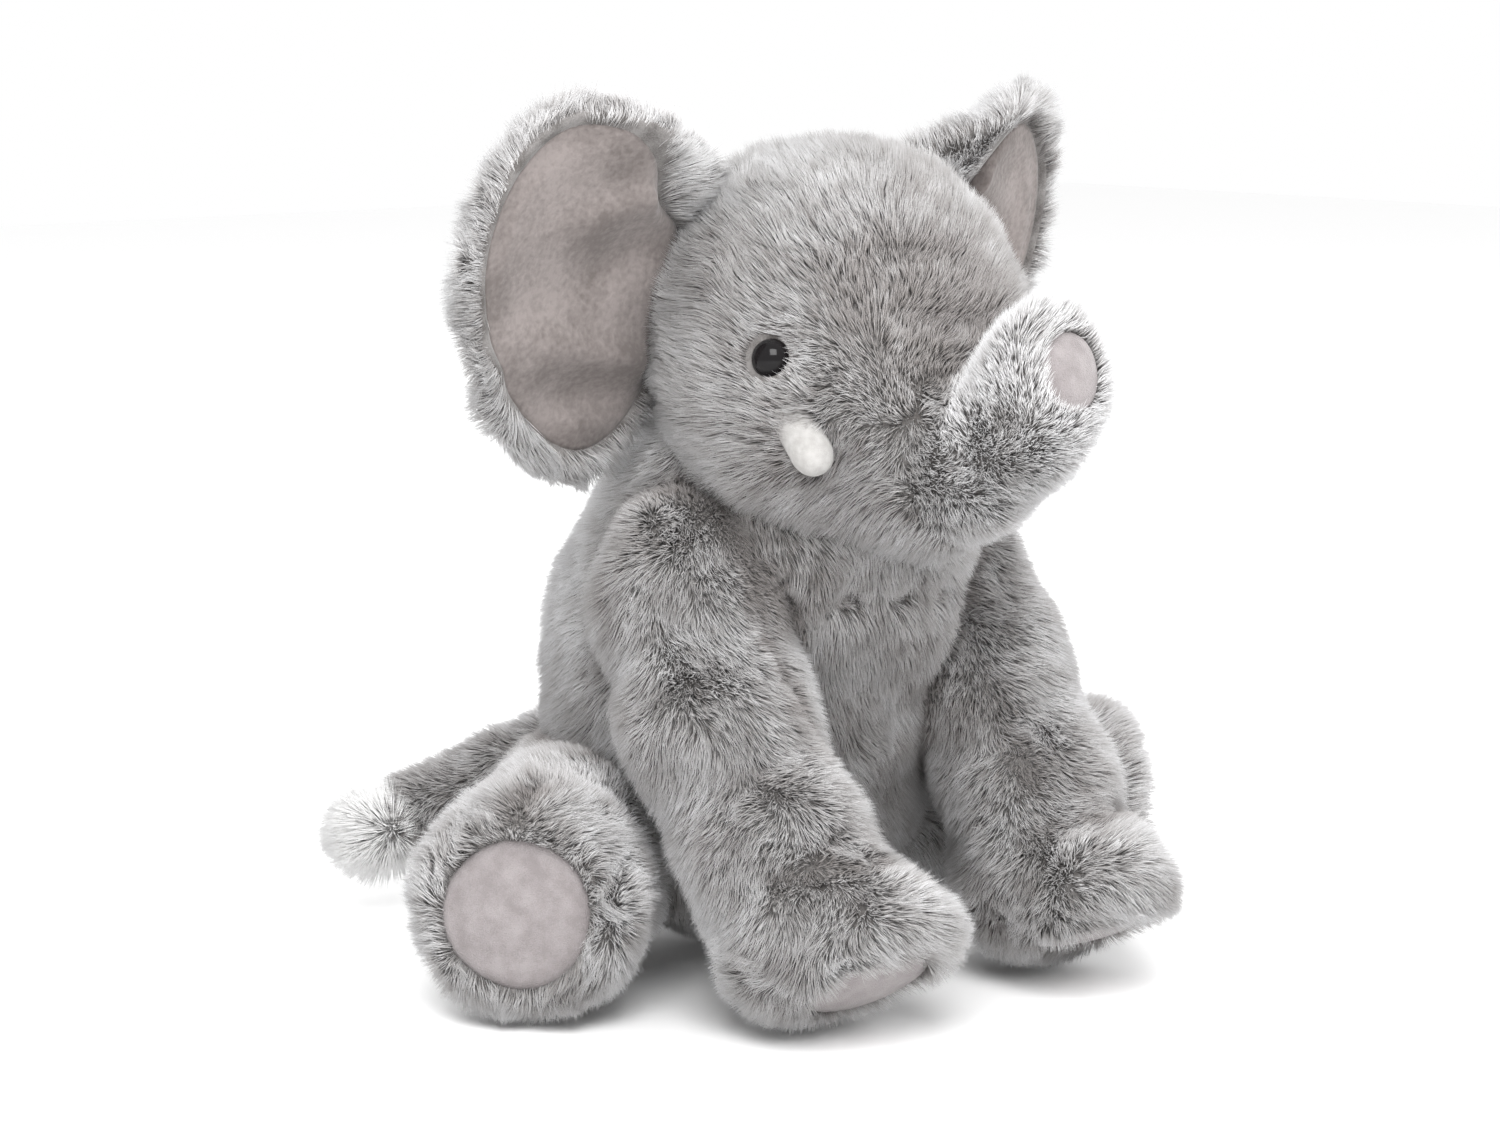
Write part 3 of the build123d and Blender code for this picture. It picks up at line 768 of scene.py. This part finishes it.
def lining_mesh(side):
    turns = 120
    angles = np.linspace(0, 2 * math.pi, turns, endpoint=False)
    edge = rim_start(side, angles)
    top, bottom = [], []
    for share in np.concatenate([[0.02], np.linspace(0.06, 1.02, 32)]):
        s = share * edge
        base = ear_point(side, s, angles, ear_thickness(side, s, angles))
        inner = np.clip((1 - share) / 0.14, 0, 1)
        lift = 3.4 * inner ** 0.5 + lining_folds(side, base) * inner
        top.append(base - np.stack([0 * lift, lift, 0 * lift], axis=1))
        bottom.append(base + vec(0, 0.9, 0))
    points = np.concatenate(top + bottom[::-1])
    quads = ring_faces(len(top) * 2, turns)
    ends = [tuple(range(turns))[::-1], tuple(range(len(points) - turns, len(points)))]
    if side < 0:
        quads = [q[::-1] for q in quads]
        ends = [e[::-1] for e in ends]
    return points, quads, ends


# ---- small pieces ----
def disc_pad(name, centre, normal, radius, thickness, dome, material):
    """A round sewn pad, domed, with a rolled edge."""
    across = unit(np.cross(normal, vec(0.3, 0.1, 1)))
    up = np.cross(normal, across)
    rings, turns = 14, 56
    profile = []
    for i in range(rings):
        share = i / (rings - 1)
        height = dome * (1 - share ** 2) - 1.2 * max(0.0, (share - 0.9) / 0.1) ** 2
        profile.append((max(share, 0.02) * radius, height))
    profile.append((radius, -thickness))
    profile.append((0.02 * radius, -thickness))
    points = []
    for reach, height in profile:
        for t in range(turns):
            angle = 2 * math.pi * t / turns
            wave = 1 + 0.02 * math.sin(3 * angle + 1)
            spoke = across * math.cos(angle) + up * math.sin(angle)
            points.append(centre + spoke * reach * wave + normal * height)
    points = np.array(points)
    faces = ring_faces(len(profile), turns)
    faces += [tuple(range(turns))[::-1], tuple(range(len(points) - turns, len(points)))]
    obj = mesh_object(name, points, faces, material)
    smooth_finish(obj)
    return obj


def smooth_finish(obj):
    """Turns the faces of a closed piece outwards."""
    import bmesh
    work = bmesh.new()
    work.from_mesh(obj.data)
    bmesh.ops.recalc_face_normals(work, faces=work.faces)
    work.to_mesh(obj.data)
    work.free()
    obj.data.update()


def turned(name, start, end, profile, material, turns=32):
    """A round piece turned about the line from start to end. profile is (share of length, radius)."""
    start, end = vec(*start), vec(*end)
    direction = unit(end - start)
    across = unit(np.cross(direction, vec(0.2, 0.9, 0.3)))
    up = np.cross(direction, across)
    points = []
    for share, radius in profile:
        middle = start + (end - start) * share
        for t in range(turns):
            angle = 2 * math.pi * t / turns
            points.append(middle + (across * math.cos(angle) + up * math.sin(angle)) * max(radius, 0.05))
    points = np.array(points)
    faces = ring_faces(len(profile), turns)
    faces += [tuple(range(turns))[::-1], tuple(range(len(points) - turns, len(points)))]
    obj = mesh_object(name, points, faces, material)
    smooth_finish(obj)
    return obj


def soft_profile(radius):
    """A stuffed finger with a narrow root and a round end."""
    out = [(0.0, radius * 0.45), (0.06, radius * 0.72), (0.16, radius * 0.88), (0.3, radius * 0.97)]
    out += [(0.45, radius), (0.6, radius), (0.72, radius * 0.99)]
    for angle in np.linspace(0.12, 1.55, 10):
        out.append((0.76 + 0.24 * math.sin(angle), radius * math.cos(angle) ** 0.8))
    return out


EYE = vec(44.6, -40.0, 174)
EYE_OUT = unit(vec(43, -27, -2))
for label, side in SIDES:
    centre, out = sided(EYE, side), sided(EYE_OUT, side)
    dome = turned(f"eye_{label}_dome", centre - out * 5.0, centre + out * 4.4,
                  [(0, 0.0), (0.02, 4.6), (0.3, 5.25), (0.5, 5.25)]
                  + [(0.5 + 0.5 * math.sin(a), 5.25 * math.cos(a)) for a in np.linspace(0.12, 1.56, 14)],
                  eye_black, 40)
    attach(dome, "head")
    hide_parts(f"eye_{label}")
    tusk = turned(f"tusk_{label}_soft", (side * 41, -38, 166), (side * 43, -57.5, 147),
                  soft_profile(5.5), tusk_felt)
    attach(tusk, "head")
    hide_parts(f"tusk_{label}")

tip_pad = disc_pad("trunk_tip_velour", TIP_CENTRE - TIP_NORMAL * 5.0, TIP_NORMAL, 10.5, 3.0, 2.2, pad_velour)
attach(tip_pad, "trunk")
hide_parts("trunk_tip_pad")


# ---- pile on the torso and head ----
DENSITY = 4.0 * FUR_SCALE


def pile(name, form, points, faces, comb, length, density=DENSITY, keep=None, material=None, beside=(),
         length_at=None, tone_at=None, tone=0.5, **how):
    """Pile over a skin. Where it meets one of the forms beside it, it is shorter, darker with painted shade, and
    combed off the seam.
    """
    roots = sample_surface(points, faces, density)
    if keep is not None:
        roots = roots[keep(roots)]
    roots, normals = settle(form, roots, 1)
    reach = length if length_at is None else length * length_at(roots)
    tones = tone if tone_at is None else tone_at(roots)
    flow = unit(comb(roots))
    for other in beside:
        near = np.exp(-(np.maximum(other(roots), 0) / 4.5) ** 2)
        close = near > 0.05
        away = np.zeros_like(flow)
        away[close] = unit(gradient(other, roots[close]))
        flow = flow + away * (near * 1.6)[:, None]
        reach = reach * (1 - 0.4 * near)
        # painted shade: the pile is darker where it meets a neighbouring form, where shade falls between the parts
        tones = tones - 0.75 * near
    return grow(name, roots, normals, flow, reach, material or grey_pile, tone=tones, **how)


def outside(*forms):
    """Keeps roots that aren't buried in a neighbour."""
    def keep(p):
        kept = p[:, 2] > 1.2
        for form, margin in forms:
            kept &= form(p) > -margin
        return kept
    return keep


fore = {side: foreleg_form(side) for _, side in SIDES}
hind = {side: hindleg_form(side) for _, side in SIDES}

def torso_tone(p):
    return 0.5 + 0.22 * np.clip((p[:, 1] + 10) / 50, 0, 1) - 0.08 * (p[:, 1] < -15)


near_legs = [(fore[-1], 2), (fore[1], 2), (hind[-1], 2), (hind[1], 2), (head_form, 2)]
for piece in pile("torso_pile", torso_form, torso_points, torso_faces, torso_comb, 8.2, keep=outside(*near_legs),
                  seams=CHEST_SEAMS + BACK_SEAM, tone_at=torso_tone, beside=[fore[-1], fore[1], hind[-1], hind[1]]):
    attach(piece, "torso")
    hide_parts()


def off_the_eyes(p):
    """Away from the eyes, the tusk roots and the pad in the trunk's tip."""
    side = np.sign(p[:, :1])
    mirrored = np.abs(p) * vec(1, 0, 0) + p * vec(0, 1, 1)
    kept = np.linalg.norm(mirrored - EYE, axis=1) > 6.4
    kept &= np.linalg.norm(mirrored - vec(41, -41, 162), axis=1) > 6.0
    across = np.linalg.norm(tangent_part(p - TIP_CENTRE, TIP_NORMAL), axis=1)
    kept &= ~((across < 9.6) & (p[:, 1] < -92) & ((p - TIP_CENTRE) @ TIP_NORMAL > -14))
    return kept


def head_keep(p):
    return off_the_eyes(p) & (torso_form(p) > -3)


def head_length(p):
    """Shorter pile on the face and round the eyes."""
    mirrored = np.abs(p) * vec(1, 0, 0) + p * vec(0, 1, 1)
    eye = np.linalg.norm(mirrored - EYE, axis=1)
    face = 1 - 0.15 * np.clip((-p[:, 1] - 35) / 25, 0, 1)
    return face * (0.5 + 0.5 * np.clip((eye - 7) / 9, 0, 1))


def head_tone(p):
    """Silver on the crown and the trunk's tip, darker round the bridge of the nose. Lighter along the whole trunk,
    as painted light that lifts the shade on it.
    """
    crown = np.clip((p[:, 2] - 178) / 28, 0, 1)
    bridge = np.exp(-(np.linalg.norm((p - vec(0, -55, 179)) / vec(1.6, 1, 1), axis=1) / 22) ** 2)
    # painted light: the whole trunk's pile is lighter to lift the shade that falls on it
    trunk = np.clip((-p[:, 1] - 62) / 14, 0, 1)
    tip = np.clip((-p[:, 1] - 92) / 12, 0, 1)
    return 0.48 - 0.03 * crown - 0.54 * bridge + 0.42 * trunk + 0.16 * tip


for piece in pile("head_pile", head_form, head_points, head_faces, head_comb, 8.0, keep=head_keep,
                  length_at=head_length, seams=HEAD_SEAMS, tone_at=head_tone):
    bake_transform(piece)
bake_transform(head_skin)

# ---- legs ----
for label, side in SIDES:
    form = fore[side]
    low = (min(side * 8, side * 76), -112, -3)
    high = (max(side * 8, side * 76), 34, 146)
    skin, points, faces = skin_object(f"foreleg_{label}_skin", form, low, high, 2.2, backing)
    sole, normal = sided(FORE_SOLE, side), FORE_SOLE_NORMAL[side]

    def fore_keep(p, sole=sole, normal=normal):
        across = np.linalg.norm(tangent_part(p - sole, normal), axis=1)
        bare = (across < 16.0) & ((p - sole) @ normal > -9)
        return ~bare & (torso_form(p) > -2.5) & (head_form(p) > -3) & (p[:, 2] > 1.0)

    for piece in pile(f"foreleg_{label}_pile", form, points, faces, foreleg_comb(side), 8.2, keep=fore_keep,
                      seams=fore_seams(side), tone=0.55, beside=[torso_form]):
        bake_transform(piece)
    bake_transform(skin)
    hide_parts(f"foreleg_outer_{label}", f"foreleg_inner_{label}", f"foreleg_filling_{label}",
                f"forefoot_filling_{label}")
    pad = disc_pad(f"foreleg_{label}_sole", sole - normal * (PILE + 0.5), normal, 18.5, 3.0, 3.0, pad_velour)
    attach(pad, f"foreleg_{label}")
    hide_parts(f"foreleg_pad_{label}")

    form = hind[side]
    centre, normal = hind_sole(side)
    hip = HIP[side]
    reach = np.stack([hip - 36, hip + 36, centre - 36, centre + 36])
    low, high = reach.min(axis=0), reach.max(axis=0)
    low[2], high[2] = -3, 76
    skin, points, faces = skin_object(f"hindleg_{label}_skin", form, low, high, 2.2, backing)

    def hind_keep(p, centre=centre, normal=normal):
        across = np.linalg.norm(tangent_part(p - centre, normal), axis=1)
        bare = (across < 18.8) & ((p - centre) @ normal > -9)
        return ~bare & (torso_form(p) > -2.5) & (p[:, 2] > 1.0)

    for piece in pile(f"hindleg_{label}_pile", form, points, faces, hindleg_comb(side), 8.4, keep=hind_keep,
                      seams=hind_seams(side), tone=0.66, beside=[torso_form]):
        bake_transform(piece)
    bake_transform(skin)
    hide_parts(f"hindleg_upper_{label}", f"hindleg_lower_{label}", f"hindleg_filling_{label}")
    pad = disc_pad(f"hindleg_{label}_sole", centre - normal * 2.0, normal, 20.5, 3.0, 2.6, pad_velour)
    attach(pad, f"hindleg_{label}")
    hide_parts(f"hindleg_pad_{label}")

# ---- tail ----
skin, points, faces = skin_object("tail_covering", tail_form, (-78, 64, 8), (18, 134, 72), 1.8, backing)


def tail_keep(p):
    return (torso_form(p) > -2) & (tuft_form(p) > -1)


for piece in pile("tail_pile", tail_form, points, faces, tail_comb, 7.5, keep=tail_keep, tone=0.42):
    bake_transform(piece)
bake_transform(skin)
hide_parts("tail_skin", "tail_filling")
core, points, faces = skin_object("tail_tuft_core", tuft_form, (-86, 96, 4), (-38, 142, 48), 1.8, white_backing)
for piece in pile("tail_tuft_pile", tuft_form, points, faces, tuft_comb, 11.5, density=6.0 * FUR_SCALE,
                  material=white_pile, lean=42.0, tone=0.9, rough=0.1):
    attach(piece, "tail")
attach(core, "tail")
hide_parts("tail_tuft")

# ---- ears ----
for label, side in SIDES:
    points, quads, ends = ear_skin_mesh(side)
    skin = mesh_object(f"ear_{label}_skin", points, quads + ends, backing)
    smooth_finish(skin)
    turns = 96
    roots = sample_surface(points, np.array(quads)[6 * turns:], 3.2 * FUR_SCALE)
    t = np.clip((218 - roots[:, 2]) / 66, -0.4, 1.3)
    d = np.abs(roots[:, 0]) - (40 + 6 * t)
    flat = np.stack([d / EAR_REACH[side], roots[:, 2]], axis=1) - EAR_CENTRE
    angle = np.arctan2(flat[:, 1], flat[:, 0])
    edge = ear_outline(angle)
    share = np.clip(np.linalg.norm(flat, axis=1) / np.linalg.norm(edge, axis=1), 0, 1)
    on_rim = share > rim_start(side, angle) + 0.01
    middle = ear_point(side, share, angle, np.zeros(len(roots)))
    in_front = roots[:, 1] < middle[:, 1]
    outward = unit(np.stack([side * flat[:, 0], np.zeros(len(flat)), flat[:, 1]], axis=1))
    face = np.where(in_front, -1.0, 1.0)[:, None] * vec(0, 1, 0)
    grown = ~in_front | on_rim
    rimward = np.clip((share - 0.86) / 0.12, 0, 1)[:, None]
    normals = unit(face * (1 - rimward * 0.85) + outward * rimward)
    comb = outward + vec(0, 0, -0.4) * (1 - rimward) + face * rimward * 0.35
    roots, normals, comb = roots[grown], normals[grown], comb[grown]
    pieces = grow(f"ear_{label}_pile", roots, normals, comb, 7.8, grey_pile, lean=45.0, tone=0.68)
    for piece in pieces:
        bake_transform(piece)
    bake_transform(skin)
    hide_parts(f"ear_back_{label}")
    points, quads, ends = lining_mesh(side)
    lining = mesh_object(f"ear_{label}_velour", points, quads + ends, lining_velour)
    smooth_finish(lining)
    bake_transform(lining)
    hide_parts(f"ear_lining_{label}")


# ---- studio ----
def studio():
    bpy.ops.mesh.primitive_plane_add(size=6, location=(0, 0, 0))
    floor = bpy.context.object
    floor.name = "floor"
    material, nodes, links, shader = new_material("floor_paper")
    shader.inputs["Base Color"].default_value = (0.95, 0.95, 0.95, 1)
    shader.inputs["Roughness"].default_value = 0.9
    floor.data.materials.append(material)
    world = bpy.data.worlds.new("studio_world")
    world.use_nodes = True
    world.node_tree.nodes["Background"].inputs["Color"].default_value = (1.0, 1.0, 1.0, 1)
    world.node_tree.nodes["Background"].inputs["Strength"].default_value = 1.0
    bpy.context.scene.world = world
    for name, place, size, power in (
        ("key", (-0.75, -0.95, 1.2), 0.9, 29.0),
        ("fill", (1.2, -0.9, 0.8), 1.2, 11.0),
        ("back", (0.3, 1.3, 1.2), 1.2, 8.0),
    ):
        data = bpy.data.lights.new(name, "AREA")
        data.size = size
        data.energy = power
        lamp = bpy.data.objects.new(name, data)
        lamp.location = place
        aim = Vector((0, 0, 0.12)) - Vector(place)
        lamp.rotation_euler = aim.to_track_quat("-Z", "Y").to_euler()
        bpy.context.scene.collection.objects.link(lamp)


def camera():
    azimuth, elevation, distance = math.radians(-40), math.radians(9), 1.0
    back = Vector((math.sin(azimuth) * math.cos(elevation), -math.cos(azimuth) * math.cos(elevation),
                   math.sin(elevation)))
    right = Vector((math.cos(azimuth), math.sin(azimuth), 0))
    up = back.cross(right)
    target = right * -0.0139 + up * 0.111
    data = bpy.data.cameras.new("photo_camera")
    data.lens = 86.4
    data.sensor_width = 36
    obj = bpy.data.objects.new("photo_camera", data)
    obj.location = target + back * distance
    obj.rotation_euler = (-back).to_track_quat("-Z", "Y").to_euler()
    bpy.context.scene.collection.objects.link(obj)
    bpy.context.scene.camera = obj


studio()
camera()
bpy.context.scene.view_settings.view_transform = "Standard"
